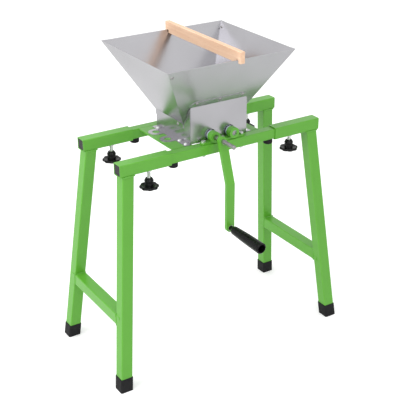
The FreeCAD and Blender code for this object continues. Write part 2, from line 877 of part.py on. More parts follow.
def gear_cover():
    """Front cover over the gears: face, side returns and a flange laid on the front panel."""
    inner = cover_y + sheet
    bottom = inner_top + cover_bottom_gap
    along = V(0, -1, panel_slope)
    along.normalize()
    off = end_normal(-1)
    bend = V(cover_left, inner, cover_bend_z(inner))
    outline = [V(cover_left, cover_y, bottom), V(cover_left, inner, bottom), bend,
               bend + along * cover_flange, bend + along * cover_flange + off * sheet,
               V(cover_left, cover_y, cover_bend_z(cover_y) - sheet * flange_skew)]
    cover = prism(outline, V(cover_right - cover_left, 0, 0))
    for x, inward in ((cover_left, 1), (cover_right, -1)):
        tip = V(x, inner, cover_bend_z(inner)) + along * cover_flange
        side_cut = tip - along * cover_flange_clip
        top_cut = tip + V(inward * cover_flange_clip, 0, 0)
        cover = cover.cut(prism([tip, side_cut, top_cut], off * sheet))
    return_top = cover_bend_z(inner + cover_return) - 2 * sheet * flange_skew
    for x, inward in ((cover_left, 1), (cover_right, -1)):
        x0, x1 = sorted((x, x + inward * sheet))
        cover = cover.fuse(box(x0, x1, inner, inner + cover_return, bottom, return_top))
    cover = cover.removeSplitter()
    for x in (drive_x, idler_x):
        cover = cover.cut(cylinder_y(x, shaft_z, cover_y, inner, cover_hole_r))
    for seat in cover_rivet_seats():
        cover = cover.cut(shank_hole(seat, off))
    return cover


def guide_plate(side):
    """Bent sheet that leads the fruit from a side wall down to the toothed discs."""
    x = wall_left + sheet if side < 0 else wall_right - sheet
    shaft_x = drive_x if side < 0 else idler_x
    tip_x = shaft_x + side * (disc_tip_r + guide_gap)
    top = throat_z - guide_top_gap
    low = top - guide_flange
    y0 = wall_front + sheet + guide_gap
    y1 = wall_rear - sheet - guide_gap
    outline = [V(x, y0, top), V(x - side * sheet, y0, top), V(x - side * sheet, y0, low),
               V(tip_x, y0, top - guide_drop), V(tip_x + side * sheet, y0, top - guide_drop - sheet),
               V(x, y0, low - sheet)]
    return prism(outline, V(0, y1 - y0, 0))


def crank_arm():
    """Flat bar bent outwards below the hub, with round ends and a short collar at its back."""
    half = arm_width / 2
    bend_z = shaft_z - arm_bend_radius_from_axis
    slope = (arm_hub_y - arm_outer_y) / arm_bend_radius_from_axis
    top_z = shaft_z + half
    end_z = shaft_z - crank_radius - half
    top_y = arm_hub_y + slope * half
    t = arm_thickness
    tilt = t * math.hypot(1, slope)
    x0 = drive_x - half
    profile = [V(x0, top_y, top_z), V(x0, arm_outer_y, bend_z), V(x0, arm_outer_y, end_z),
               V(x0, arm_outer_y + t, end_z), V(x0, arm_outer_y + t, bend_z - (tilt - t) / 2),
               V(x0, top_y + tilt, top_z)]
    bar = prism(profile, V(arm_width, 0, 0))
    front = arm_outer_y - t
    depth = 2 * t + tilt + arm_hub_y - arm_outer_y
    outline = box(drive_x - half, drive_x + half, front, front + depth, shaft_z - crank_radius, shaft_z)
    for z in (shaft_z, shaft_z - crank_radius):
        outline = outline.fuse(cylinder_y(drive_x, z, front, front + depth, half))
    bar = bar.common(outline.removeSplitter())
    hub_rear = arm_hub_y + tilt + hub_length
    bar = bar.fuse(cylinder_y(drive_x, shaft_z, arm_hub_y + t / 2, hub_rear, hub_d / 2)).removeSplitter()
    bar = bar.cut(cylinder_y(drive_x, shaft_z, arm_outer_y, hub_rear, journal_d / 2))
    pin_z = shaft_z - crank_radius
    return bar.cut(cylinder_y(drive_x, pin_z, arm_outer_y, arm_outer_y + t, grip_pin_d / 2))


def grip_pin():
    z = shaft_z - crank_radius
    head_y = arm_outer_y - grip_washer - grip_play - grip_bore_length - grip_play
    pin = cylinder_y(drive_x, z, head_y, arm_outer_y + arm_thickness, grip_pin_d / 2)
    return pin.fuse(cylinder_y(drive_x, z, head_y - pin_head, head_y, pin_head_d / 2)).removeSplitter()


def grip_ring():
    z = shaft_z - crank_radius
    ring = cylinder_y(drive_x, z, arm_outer_y - grip_washer, arm_outer_y, grip_washer_d / 2)
    return ring.cut(cylinder_y(drive_x, z, arm_outer_y - grip_washer, arm_outer_y, grip_pin_d / 2))


def crank_grip():
    """Hollow plastic grip with a narrow neck, a shoulder and a long swelling body."""
    z = shaft_z - crank_radius
    y0 = arm_outer_y - grip_washer - grip_play
    end = y0 - grip_length
    neck = y0 - grip_neck
    shoulder = neck - grip_shoulder
    middle = (shoulder + end) / 2
    bore = grip_pin_d / 2 + grip_pin_fit
    hollow = y0 - grip_bore_length
    room_r = pin_head_d / 2 + pin_head_room
    r_mid = (grip_shoulder_d + grip_end_d) / 4 + (grip_end_d - grip_shoulder_d) / 8

    def at(r, y):
        return V(drive_x + r, y, z)

    edges = [Part.LineSegment(at(bore, y0), at(grip_neck_d / 2, y0)).toShape(),
             Part.LineSegment(at(grip_neck_d / 2, y0), at(grip_neck_d / 2, neck)).toShape(),
             Part.LineSegment(at(grip_neck_d / 2, neck), at(grip_shoulder_d / 2, shoulder)).toShape(),
             Part.Arc(at(grip_shoulder_d / 2, shoulder), at(r_mid, middle),
                      at(grip_end_d / 2, end + grip_end_round)).toShape(),
             Part.LineSegment(at(grip_end_d / 2, end + grip_end_round),
                              at(grip_end_d / 2 - grip_end_round, end)).toShape(),
             Part.LineSegment(at(grip_end_d / 2 - grip_end_round, end), at(grip_hollow_d / 2, end)).toShape(),
             Part.LineSegment(at(grip_hollow_d / 2, end), at(room_r, hollow)).toShape(),
             Part.LineSegment(at(room_r, hollow), at(bore, hollow)).toShape(),
             Part.LineSegment(at(bore, hollow), at(bore, y0)).toShape()]
    return Part.Face(Part.Wire(edges)).revolve(V(drive_x, 0, z), V(0, 1, 0), 360)


def wooden_bar():
    """Beech bar whose slots drop over the front and rear rims."""
    front = rim_front_y - bar_overhang
    rear = rim_rear_y + bar_overhang
    bottom = rim_z - bar_hook_height
    top = bottom + bar_height
    half = bar_thickness / 2
    bar = box(bar_x - half, bar_x + half, front, rear, bottom, top)
    bar = bar.makeFillet(bar_round, bar.Edges)
    for row in (-1, 1):
        high = hopper_corner(1, row, rim_z).y
        low = hopper_corner(1, row, bottom).y - row * level_step(end_run(row))
        y0, y1 = sorted((high + row * bar_slot_clearance, low - row * bar_slot_clearance))
        bar = bar.cut(box(bar_x - half, bar_x + half, y0, y1, bottom, rim_z + bar_rest_gap))
    return bar


def build_stand():
    for side, name in ((-1, "left"), (1, "right")):
        for row, place in ((-1, "front"), (1, "rear")):
            save(name + "_outer_rail_" + place, outer_rail(side, row))
            save(name + "_leg_" + place, leg(side, row))
            save(name + "_knob_" + place, clamp_knob(side, row))
            save(name + "_stud_" + place, clamp_stud(side, row))
        save(name + "_foot_caps", group([foot_cap(side, row) for row in (-1, 1)]))
        save(name + "_crossbar", crossbar(side))
        save(name + "_end_plugs", group([end_plug(side, row) for row in (-1, 1)]))
        save(name + "_weld_nuts", group([weld_nut(side, row) for row in (-1, 1)]))
        save(name + "_cross_plate", cross_plate(side))
    save("inner_rail_front", inner_rail(-1))
    save("inner_rail_rear", inner_rail(1))
    save("rubber_stops", group([rubber_stop(s, r) for s in (-1, 1) for r in (-1, 1)]))


def build_bearings():
    save("bearing_saddle_front", bearing_saddle(-1))
    save("bearing_saddle_rear", bearing_saddle(1))
    save("shaft_bushes", group([bush(x, r) for x in (drive_x, idler_x) for r in (-1, 1)]))
    bolts = [saddle_bolt(x, r) for x in bolt_places() for r in (-1, 1)]
    nuts = [saddle_nut(x, r) for x in bolt_places() for r in (-1, 1)]
    save("saddle_bolts", group(bolts + nuts))


def build_hopper():
    save("hopper_panel_front", end_panel(-1))
    save("hopper_panel_rear", end_panel(1))
    save("hopper_panel_left", side_panel(-1))
    save("hopper_panel_right", side_panel(1))
    save("housing_wall_left", side_wall(-1))
    save("housing_wall_right", side_wall(1))
    save("housing_wall_front", end_wall(-1))
    save("housing_wall_rear", end_wall(1))
    save("gear_cover", gear_cover())
    save("hopper_rivets", hopper_rivets())
    save("housing_screws", group([foot_screw(s, y) for s in (-1, 1) for y in foot_screw_places]))
    save("guide_plate_left", guide_plate(-1))
    save("guide_plate_right", guide_plate(1))
    save("pusher_bar", wooden_bar())


def build_mill():
    tail_tip = arm_hub_y - shaft_shoulder - shaft_tail
    save("drive_shaft", mill_shaft(drive_x, tail_tip, shaft_tail_d / 2))
    save("idler_shaft", mill_shaft(idler_x, None, journal_d / 2))
    save("drive_gear", gear_wheel(drive_x, 0))
    save("idler_gear", gear_wheel(idler_x, math.pi + math.pi / gear_teeth))
    discs, spacers = stack(drive_x, thrust_washer, -1)
    save("drive_discs", group(discs))
    save("drive_spacers", group(spacers))
    discs, spacers = stack(idler_x, spacer_length, 1)
    save("idler_discs", group(discs))
    save("idler_spacers", group(spacers))
    save("crank_arm", crank_arm())
    save("grip_pin", grip_pin())
    save("grip_washer", grip_ring())
    save("crank_grip", crank_grip())


os.makedirs("parts", exist_ok=True)
build_stand()
build_bearings()
build_hopper()
build_mill()
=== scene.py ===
import json
import math
import random

import bpy
import numpy as np
from mathutils import Matrix, Vector


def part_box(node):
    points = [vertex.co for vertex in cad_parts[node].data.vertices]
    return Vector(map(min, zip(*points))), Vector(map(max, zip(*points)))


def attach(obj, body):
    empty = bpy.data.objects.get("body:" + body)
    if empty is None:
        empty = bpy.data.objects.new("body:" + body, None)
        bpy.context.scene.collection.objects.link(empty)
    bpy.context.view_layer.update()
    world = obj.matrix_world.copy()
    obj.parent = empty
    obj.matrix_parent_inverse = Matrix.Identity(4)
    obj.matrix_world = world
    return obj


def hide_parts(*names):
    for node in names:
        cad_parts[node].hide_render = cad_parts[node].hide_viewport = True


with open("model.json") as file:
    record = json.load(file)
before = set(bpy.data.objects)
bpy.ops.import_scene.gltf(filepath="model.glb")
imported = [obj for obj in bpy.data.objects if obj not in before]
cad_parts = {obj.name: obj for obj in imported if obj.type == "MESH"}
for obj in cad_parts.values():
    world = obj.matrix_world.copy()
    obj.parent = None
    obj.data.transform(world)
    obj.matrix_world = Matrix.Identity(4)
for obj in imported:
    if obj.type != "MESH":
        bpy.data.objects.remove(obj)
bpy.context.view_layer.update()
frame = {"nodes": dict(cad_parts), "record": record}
nodes = frame["nodes"]

# Camera: where the photograph was taken from, in metres and degrees
camera_place = Vector((-1.17192, -1.84416, 1.40792))
camera_heading = 57.65
camera_down = 25.39
camera_roll = -0.27
camera_lens = 84.87
sensor_width = 36.0
camera_reach = 50.0

# Lamps, room and floor: metres, watts and strengths of light
lamp_aim = (0.0, 0.0, 0.45)
room_light = 0.55
room_seen = 1.0
floor_half = 12.0
floor_roughness = 0.9
glow_distances = (0.8, 5.0)
glow_strengths = (0.30, 0.52)

# Colours, as linear values
green_dark = (0.106, 0.385, 0.030)
green_light = (0.114, 0.405, 0.034)
stainless_dull = (0.455, 0.450, 0.470)
stainless_clear = (0.530, 0.525, 0.550)
zinc_dark = (0.660, 0.670, 0.660)
zinc_light = (0.740, 0.745, 0.755)
rivet_dark = (0.250, 0.240, 0.235)
rivet_light = (0.420, 0.410, 0.410)
tool_dark = (0.290, 0.280, 0.275)
tool_light = (0.420, 0.415, 0.415)
plastic_dark = (0.0030, 0.0030, 0.0035)
plastic_light = (0.0070, 0.0070, 0.0075)
rubber_dark = (0.008, 0.008, 0.009)
rubber_light = (0.015, 0.015, 0.016)
nylon_dark = (0.500, 0.580, 0.690)
nylon_light = (0.560, 0.640, 0.740)
beech_dark = (0.790, 0.505, 0.330)
beech_light = (0.880, 0.610, 0.430)
beech_fleck = (0.500, 0.290, 0.150)
floor_white = (0.900, 0.900, 0.900)
glow_white = (1.000, 1.000, 1.000)

# Noise: the two values between which it shades from the first colour to the second
soft_noise = (0.30, 0.70)
clear_noise = (0.35, 0.65)
grain_noise = (0.32, 0.68)
fleck_noise = (0.66, 0.74)
fleck_strength = (0.0, 0.55)

# Softened edges: widths in metres, and the least angle between the faces in degrees
coat_bevel = 0.0006
sheet_bevel = 0.0005
part_bevel = 0.0004
bevel_angle = 35.0
bevel_segments = 2

# Angles in degrees from which a new piece's edges are shaded as sharp ones
part_edge = 32.0
knob_edge = 40.0
thread_edge = 50.0
bead_edge = 60.0

# Clamp knobs and studs: the profile's rows are height, radius and share of the scallops
knob_lobes = 8
knob_scallop = 0.0020
scallop_power = 1.3
knob_sides = 128
knob_profile = [
    (0.0000, 0.0060, 0.0), (0.0000, 0.0175, 0.3), (0.0004, 0.0200, 0.7), (0.0012, 0.0222, 1.0),
    (0.0026, 0.0232, 1.0), (0.0042, 0.0234, 1.0), (0.0056, 0.0232, 1.0), (0.0066, 0.0226, 1.0),
    (0.0072, 0.0216, 0.9), (0.0074, 0.0204, 0.6), (0.0072, 0.0191, 0.3), (0.0064, 0.0172, 0.1),
    (0.0055, 0.0145, 0.0), (0.0051, 0.0122, 0.0), (0.0054, 0.0110, 0.0), (0.0070, 0.0105, 0.0),
    (0.0140, 0.0102, 0.0), (0.0168, 0.0104, 0.0), (0.0180, 0.0109, 0.0), (0.0190, 0.01095, 0.0),
    (0.0203, 0.01090, 0.0), (0.0213, 0.0103, 0.0), (0.0240, 0.0090, 0.0), (0.0258, 0.0080, 0.0),
    (0.0264, 0.0070, 0.0), (0.0264, 0.0048, 0.0), (0.0260, 0.00405, 0.0)]
stud_radius = 0.0040
stud_pitch = 0.00125

# Threads: rows in a turn, points in a row, depth as a share of the pitch, turns of run-out
thread_rows = 6
thread_sides = 20
thread_depth = 0.5
thread_runout = 0.6

# Bolts and nuts, in metres: the turned face is a share of the width, with its corners sloped
# off by an angle in degrees, and the shallow dish in a head is a share of that face
bolt_across = 0.010
bolt_radius = 0.003
bolt_pitch = 0.001
bolt_head_height = 0.004
bolt_stick_out = 0.002
bolt_nut_height = 0.005
weld_nut_across = 0.013
hex_sides = 48
hex_face = 0.95
hex_slope = 30.0
hex_dish = 0.0003
hex_dish_face = 0.55

# Telling a node's solids apart: decimals of a corner's place, and the least area of a face
corner_digits = 6
least_area = 1e-12

# Rivets and pan head screws: rows are height over the seat, or over the tail's end, and radius
fastener_sides = 48
rivet_rim = 0.0040
rivet_shank = 0.0024
rivet_tail_rows = [(0.0006, 0.0008), (0.0001, 0.0012), (0.0000, 0.0021), (0.0006, 0.0026),
                   (0.0016, 0.0031), (0.0020, 0.0032)]
rivet_head_rows = [(0.0000, 0.0043), (0.0002, 0.0041), (0.0007, 0.0034), (0.0011, 0.00258),
                   (0.00136, 0.0018), (0.00145, 0.0013), (0.0013, 0.00112), (0.0007, 0.0010),
                   (0.0006, 0.0006)]
screw_head = 0.0026
screw_shank = 0.0019
screw_point = 0.00114
screw_point_length = 0.0006
screw_head_rows = [(0.0000, 0.0041), (0.0012, 0.0041), (0.0018, 0.0039), (0.0022, 0.0036),
                   (0.0025, 0.0030), (0.0026, 0.0024), (0.0026, 0.0019), (0.0026, 0.0014),
                   (0.0026, 0.0009), (0.0026, 0.0005)]
recess_reach = 0.0022
recess_half_width = 0.00055
recess_depth = 0.0013

# Weld beads, in metres
bead_radius = 0.0017
small_bead_radius = 0.0012
bead_step = 0.0007
bead_sides = 8
bead_ripple_length = 0.0023

# Shares of a bead's radius: its ripples and their variation, its end and what each step adds
# from there, and how far it stands off a face and drops below a rail
bead_ripple_depth = 0.14
bead_variation = 0.04
bead_end = 0.45
bead_end_growth = 0.15
bead_stand_off = 0.2
leg_bead_drop = 0.35

# Where the beads run, in metres
leg_tube = 0.030
collar_radius = 0.0095
collar_length = 0.0040
collar_lean = 0.0032
collar_points = 40
saddle_bead_reach = 0.0088
saddle_bead_height = 0.0054
saddle_bead_ends = (0.0055, 0.0160)
plate_bead_inset = 0.004


class Shader:
    """A material with one Principled shader and short ways to add what drives it."""

    def __init__(self, name, metallic=0.0):
        self.material = bpy.data.materials.new(name)
        self.material.use_nodes = True
        self.tree = self.material.node_tree
        self.surface = self.tree.nodes["Principled BSDF"]
        self.set("Metallic", metallic)
        self.place = self.add("ShaderNodeTexCoord").outputs["Object"]

    def add(self, kind):
        return self.tree.nodes.new(kind)

    def link(self, source, target):
        self.tree.links.new(source, target)

    def set(self, name, value):
        self.surface.inputs[name].default_value = value

    def drive(self, source, name):
        self.link(source, self.surface.inputs[name])

    def stretched(self, scale):
        mapping = self.add("ShaderNodeMapping")
        mapping.inputs["Scale"].default_value = scale
        self.link(self.place, mapping.inputs["Vector"])
        return mapping.outputs["Vector"]

    def noise(self, scale, detail=3.0, vector=None):
        texture = self.add("ShaderNodeTexNoise")
        texture.inputs["Scale"].default_value = scale
        texture.inputs["Detail"].default_value = detail
        self.link(vector or self.place, texture.inputs["Vector"])
        return texture.outputs["Fac"]

    def spread(self, value, between, out=(0.0, 1.0)):
        """Stretches a value from one range to another and stops it at the ends."""
        remap = self.add("ShaderNodeMapRange")
        remap.inputs["From Min"].default_value = between[0]
        remap.inputs["From Max"].default_value = between[1]
        remap.inputs["To Min"].default_value = out[0]
        remap.inputs["To Max"].default_value = out[1]
        self.link(value, remap.inputs["Value"])
        return remap.outputs["Result"]

    def blend(self, factor, first, second):
        """Mixes two colours; the first may also come from another node."""
        mix = self.add("ShaderNodeMix")
        mix.data_type = "RGBA"
        mix.inputs["B"].default_value = (*second, 1.0)
        if isinstance(first, tuple):
            mix.inputs["A"].default_value = (*first, 1.0)
        else:
            self.link(first, mix.inputs["A"])
        self.link(factor, mix.inputs["Factor"])
        return mix.outputs["Result"]

    def colour(self, value, between, first, second):
        self.drive(self.blend(self.spread(value, between), first, second), "Base Color")

    def roughness(self, value, low, high):
        self.drive(self.spread(value, soft_noise, (low, high)), "Roughness")

    def bump(self, height, strength, distance):
        bump = self.add("ShaderNodeBump")
        bump.inputs["Strength"].default_value = strength
        bump.inputs["Distance"].default_value = distance
        self.link(height, bump.inputs["Height"])
        self.drive(bump.outputs["Normal"], "Normal")


def powder_coat():
    shader = Shader("green_powder_coat")
    shader.set("Specular IOR Level", 0.50)
    shader.colour(shader.noise(scale=9.0), clear_noise, green_dark, green_light)
    shader.roughness(shader.noise(scale=90.0), low=0.28, high=0.32)
    shader.bump(shader.noise(scale=900.0, detail=2.0), strength=0.12, distance=0.0001)
    return shader.material


def sheet_steel():
    """Cold rolled stainless sheet: very fine vertical grain, faint cloudy smears."""
    shader = Shader("satin_stainless", metallic=1.0)
    shader.colour(shader.noise(scale=5.0), soft_noise, stainless_dull, stainless_clear)
    shader.roughness(shader.noise(scale=9.0, detail=2.0), low=0.20, high=0.27)
    upright = shader.stretched((900.0, 900.0, 25.0))
    shader.bump(shader.noise(scale=1.0, detail=2.0, vector=upright), strength=0.12, distance=0.0001)
    return shader.material


def zinc_plate():
    shader = Shader("bright_zinc", metallic=1.0)
    shader.colour(shader.noise(scale=150.0), clear_noise, zinc_dark, zinc_light)
    shader.roughness(shader.noise(scale=300.0), low=0.20, high=0.38)
    shader.bump(shader.noise(scale=1500.0, detail=2.0), strength=0.15, distance=0.0001)
    return shader.material


def machined_steel():
    """Steel turned about an axis along Y, which leaves fine rings across it."""
    shader = Shader("machined_steel", metallic=1.0)
    shader.colour(shader.noise(scale=80.0), soft_noise, tool_dark, tool_light)
    turned = shader.noise(scale=1.0, detail=2.0, vector=shader.stretched((120.0, 2500.0, 120.0)))
    shader.roughness(turned, low=0.22, high=0.38)
    shader.bump(turned, strength=0.2, distance=0.0001)
    return shader.material


def black_plastic():
    shader = Shader("black_plastic")
    shader.set("Specular IOR Level", 0.20)
    shader.colour(shader.noise(scale=25.0), soft_noise, plastic_dark, plastic_light)
    shader.roughness(shader.noise(scale=200.0), low=0.20, high=0.32)
    shader.bump(shader.noise(scale=1800.0, detail=2.0), strength=0.3, distance=0.0001)
    return shader.material


def black_rubber():
    shader = Shader("black_rubber")
    shader.set("Specular IOR Level", 0.18)
    shader.colour(shader.noise(scale=40.0), soft_noise, rubber_dark, rubber_light)
    shader.roughness(shader.noise(scale=120.0), low=0.55, high=0.72)
    shader.bump(shader.noise(scale=700.0), strength=0.35, distance=0.0002)
    return shader.material


def rivet_steel():
    shader = Shader("rivet_steel", metallic=1.0)
    shader.colour(shader.noise(scale=400.0), clear_noise, rivet_dark, rivet_light)
    shader.roughness(shader.noise(scale=700.0), low=0.34, high=0.52)
    return shader.material


def pale_nylon():
    shader = Shader("pale_nylon")
    shader.set("Subsurface Weight", 0.1)
    shader.set("Subsurface Radius", (0.002, 0.002, 0.002))
    shader.colour(shader.noise(scale=60.0), soft_noise, nylon_dark, nylon_light)
    shader.roughness(shader.noise(scale=300.0), low=0.32, high=0.45)
    return shader.material


def beech_wood():
    """Planed beech: long soft grain with the short dark flecks of its rays."""
    shader = Shader("planed_beech")
    grain = shader.noise(scale=1.0, detail=6.0, vector=shader.stretched((160.0, 9.0, 160.0)))
    wood = shader.blend(shader.spread(grain, grain_noise), beech_dark, beech_light)
    fleck = shader.noise(scale=1.0, detail=1.0, vector=shader.stretched((900.0, 110.0, 900.0)))
    flecks = shader.spread(fleck, fleck_noise, fleck_strength)
    shader.drive(shader.blend(flecks, wood, beech_fleck), "Base Color")
    shader.roughness(grain, low=0.48, high=0.62)
    shader.bump(grain, strength=0.25, distance=0.0003)
    return shader.material


def floor_paint():
    """White floor that glows for the camera alone, a little more as it is further away."""
    shader = Shader("pale_floor")
    shader.set("Base Color", (*floor_white, 1.0))
    shader.set("Roughness", floor_roughness)
    shader.set("Emission Color", (*glow_white, 1.0))
    path = shader.add("ShaderNodeLightPath")
    away = shader.add("ShaderNodeVectorMath")
    away.operation = "LENGTH"
    shader.link(shader.place, away.inputs[0])
    glow = shader.add("ShaderNodeMath")
    glow.operation = "MULTIPLY"
    shader.link(path.outputs["Is Camera Ray"], glow.inputs[0])
    shader.link(shader.spread(away.outputs["Value"], glow_distances, glow_strengths), glow.inputs[1])
    shader.drive(glow.outputs[0], "Emission Strength")
    return shader.material


def dress_cad_nodes(materials):
    """Gives every CAD node the material of its slot and softens its hard edges."""
    slots = {s["node"]: s["material_slot"] for s in frame["record"]["subparts"]}
    widths = {"green_coat": coat_bevel, "stainless": sheet_bevel}
    for name, node in nodes.items():
        slot = slots[name]
        node.data.materials.clear()
        node.data.materials.append(materials[slot])
        bevel = node.modifiers.new("soft_edges", "BEVEL")
        bevel.width = widths.get(slot, part_bevel)
        bevel.segments = bevel_segments
        bevel.limit_method = "ANGLE"
        bevel.angle_limit = math.radians(bevel_angle)
        bevel.use_clamp_overlap = True


def make_camera():
    """Camera at the photograph's place, heading, tilt and roll."""
    yaw = math.radians(camera_heading)
    pitch = math.radians(camera_down)
    roll = math.radians(camera_roll)
    level_ahead = Vector((math.cos(yaw), math.sin(yaw), 0.0))
    ahead = level_ahead * math.cos(pitch) - Vector((0.0, 0.0, math.sin(pitch)))
    level_right = Vector((math.sin(yaw), -math.cos(yaw), 0.0))
    level_up = level_right.cross(ahead)
    right = level_right * math.cos(roll) + level_up * math.sin(roll)
    up = level_up * math.cos(roll) - level_right * math.sin(roll)
    data = bpy.data.cameras.new("camera")
    data.lens = camera_lens
    data.sensor_width = sensor_width
    data.clip_end = camera_reach
    camera = bpy.data.objects.new("camera", data)
    turn = Matrix((right, up, -ahead)).transposed().to_4x4()
    camera.matrix_world = Matrix.Translation(camera_place) @ turn
    bpy.context.scene.collection.objects.link(camera)
    bpy.context.scene.camera = camera


def area_lamp(name, place, size, power):
    """Square lamp at a place, turned to the middle of the mill."""
    data = bpy.data.lights.new(name, "AREA")
    data.shape = "SQUARE"
    data.size = size
    data.energy = power
    lamp = bpy.data.objects.new(name, data)
    lamp.location = place
    lamp.rotation_mode = "QUATERNION"
    lamp.rotation_quaternion = (Vector(lamp_aim) - Vector(place)).to_track_quat("-Z", "Y")
    bpy.context.scene.collection.objects.link(lamp)


def light_the_studio():
    """Three lamps, and a white room that lights less than it shows in mirrors and to the camera."""
    area_lamp("top_lamp", place=(-0.5, 0.2, 3.6), size=3.4, power=72.0)
    area_lamp("side_lamp", place=(-3.2, 0.0, 1.6), size=2.8, power=58.0)
    area_lamp("fill_lamp", place=(-0.3, -3.4, 1.6), size=2.8, power=36.0)
    world = bpy.data.worlds.new("studio")
    world.use_nodes = True
    tree = world.node_tree
    background = tree.nodes["Background"]
    background.inputs["Color"].default_value = (*glow_white, 1.0)
    path = tree.nodes.new("ShaderNodeLightPath")
    direct = tree.nodes.new("ShaderNodeMath")
    direct.operation = "MAXIMUM"
    tree.links.new(path.outputs["Is Camera Ray"], direct.inputs[0])
    tree.links.new(path.outputs["Is Glossy Ray"], direct.inputs[1])
    clear = tree.nodes.new("ShaderNodeMath")
    clear.operation = "MAXIMUM"
    tree.links.new(direct.outputs[0], clear.inputs[0])
    tree.links.new(path.outputs["Is Transmission Ray"], clear.inputs[1])
    strength = tree.nodes.new("ShaderNodeMapRange")
    strength.inputs["To Min"].default_value = room_light
    strength.inputs["To Max"].default_value = room_seen
    tree.links.new(clear.outputs[0], strength.inputs["Value"])
    tree.links.new(strength.outputs["Result"], background.inputs["Strength"])
    bpy.context.scene.world = world


def make_floor(material):
    """Level floor round the feet, for the picture alone."""
    low = -floor_half
    high = floor_half
    mesh = bpy.data.meshes.new("floor")
    corners = [(low, low, 0.0), (high, low, 0.0), (high, high, 0.0), (low, high, 0.0)]
    mesh.from_pydata(corners, [], [(0, 1, 2, 3)])
    mesh.materials.append(material)
    floor = bpy.data.objects.new("floor", mesh)
    bpy.context.scene.collection.objects.link(floor)


def ring(centre, across, along, radii):
    """Points round a centre in the plane of two unit vectors, one per radius given."""
    points = []
    for k, r in enumerate(radii):
        a = 2 * math.pi * k / len(radii)
        points.append(centre + across * (r * math.cos(a)) + along * (r * math.sin(a)))
    return points


def new_piece(name, points, faces, sharp):
    """Mesh object with smooth shading, but for its edges above the angle given in degrees."""
    mesh = bpy.data.meshes.new(name)
    mesh.from_pydata(points, [], faces)
    mesh.validate()
    mesh.shade_smooth()
    mesh.set_sharp_from_angle(angle=math.radians(sharp))
    piece = bpy.data.objects.new(name, mesh)
    bpy.context.scene.collection.objects.link(piece)
    return piece


def skin(name, rings, closed=False, sharp=part_edge):
    """Piece whose surface runs from ring to ring; its ends are capped unless it is closed."""
    count = len(rings[0])
    points = [p for one in rings for p in one]
    faces = []
    steps = len(rings) if closed else len(rings) - 1
    for i in range(steps):
        a = i * count
        b = ((i + 1) % len(rings)) * count
        for k in range(count):
            n = (k + 1) % count
            faces.append((a + k, a + n, b + n, b + k))
    if not closed:
        faces.append(tuple(reversed(range(count))))
        faces.append(tuple(range((len(rings) - 1) * count, len(rings) * count)))
    return new_piece(name, points, faces, sharp)


def join(name, pieces):
    """One piece made of several, so that a node's stand-in is a single object."""
    points = []
    faces = []
    for piece in pieces:
        start = len(points)
        points += [v.co.copy() for v in piece.data.vertices]
        faces += [tuple(start + i for i in p.vertices) for p in piece.data.polygons]
        bpy.data.objects.remove(piece)
    return new_piece(name, points, faces, part_edge)


def fit_out(piece, body, slot, material, *replaced):
    """Puts a new piece on its body, in its material, in place of the CAD nodes it stands for."""
    piece.data.materials.append(material)
    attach(piece, body)
    if replaced:
        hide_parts(*replaced)


def middle(node):
    """Centre of the box of a CAD node."""
    low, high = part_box(node)
    return (Vector(low) + Vector(high)) / 2


def threaded_rod(name, foot, rise, radius, pitch):
    """Rod whose surface winds up as one thread; rise is its length as a vector."""
    length = rise.length
    up = rise.normalized()
    across = up.orthogonal().normalized()
    along = up.cross(across)
    rows = max(2, int(length / pitch * thread_rows))
    depth = pitch * thread_depth
    rings = []
    for i in range(rows + 1):
        share = i / rows
        turn = share * length / pitch
        near_end = min(share, 1 - share) * length / pitch
        runout = depth * max(0.0, thread_runout - near_end)
        radii = []
        for k in range(thread_sides):
            phase = (turn - k / thread_sides) % 1.0
            radii.append(radius - depth * abs(2 * phase - 1) - runout)
        rings.append(ring(foot + up * (share * length), across, along, radii))
    return skin(name, rings, sharp=thread_edge)


def hex_radius(across_flats, angle):
    """Distance from a hexagon's centre to its edge; the first corner is at angle 0."""
    sixth = math.pi / 3
    return across_flats / 2 / math.cos(angle % sixth - sixth / 2)


def hexagon(name, x, y, z0, z1, across_flats, round_low, round_high):
    """Bolt head or nut whose corners are turned off, as a lathe does, at the ends asked for."""
    flat = across_flats / 2
    face = [flat * hex_face] * hex_sides
    dish = [flat * hex_face * hex_dish_face] * hex_sides
    angles = [2 * math.pi * k / hex_sides for k in range(hex_sides)]
    outer = [hex_radius(across_flats, a) for a in angles]
    drop = [(r - flat * hex_face) * math.tan(math.radians(hex_slope)) for r in outer]

    def loop(radii, heights):
        return [Vector((x + r * math.cos(a), y + r * math.sin(a), z))
                for r, a, z in zip(radii, angles, heights)]

    rings = []
    if round_low:
        rings.append(loop(face, [z0] * hex_sides))
        rings.append(loop(outer, [z0 + d for d in drop]))
    else:
        rings.append(loop(outer, [z0] * hex_sides))
    if round_high:
        rings.append(loop(outer, [z1 - d for d in drop]))
        rings.append(loop(face, [z1] * hex_sides))
        rings.append(loop(dish, [z1 - hex_dish] * hex_sides))
    else:
        rings.append(loop(outer, [z1] * hex_sides))
    return skin(name, rings)


def make_saddle_bolts(material):
    """Six hexagon bolts through the rails, with nuts and thread ends underneath."""
    low, high = (Vector(c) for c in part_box("saddle_bolts"))
    corner = bolt_across / math.sqrt(3)
    xs = [low.x + corner, (low.x + high.x) / 2, high.x - corner]
    ys = [low.y + bolt_across / 2, high.y - bolt_across / 2]
    head_low = high.z - bolt_head_height
    nut_low = low.z + bolt_stick_out
    nut_high = nut_low + bolt_nut_height
    parts = []
    for x in xs:
        for y in ys:
            parts.append(hexagon("head", x, y, head_low, high.z, bolt_across, False, True))
            parts.append(hexagon("nut", x, y, nut_low, nut_high, bolt_across, True, False))
            foot = Vector((x, y, low.z))
            rise = Vector((0, 0, head_low - low.z))
            parts.append(threaded_rod("shank", foot, rise, bolt_radius, bolt_pitch))
    piece = join("saddle_bolt_set", parts)
    fit_out(piece, "mill_frame", "zinc", material, "saddle_bolts")


